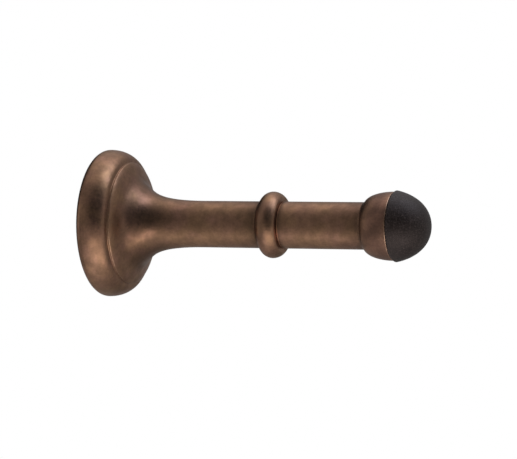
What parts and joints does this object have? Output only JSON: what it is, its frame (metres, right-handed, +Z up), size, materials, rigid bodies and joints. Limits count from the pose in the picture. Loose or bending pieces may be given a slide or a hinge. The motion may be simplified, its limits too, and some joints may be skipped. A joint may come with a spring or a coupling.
{
  "type": "door stop",
  "caption": "Turned wall door stop with a moulded base ring, trumpet neck, beaded stem and a domed rubber buffer; a hidden screw fixes it through the base.",
  "frame": {"origin": "centre of the base on the plane of the wall that the stop is fixed to", "axes": "+X out of the wall along the stop, towards the rubber tip; +Z up"},
  "size_m": [0.0941, 0.0406, 0.0404],
  "materials": {
    "antique_copper": "satin antique copper on turned brass",
    "black_rubber": "matt moulded rubber"
  },
  "bodies": {
    "root": {"rear_section": "antique_copper", "front_section": "antique_copper", "rubber_buffer": "black_rubber"}
  },
  "joints": []
}
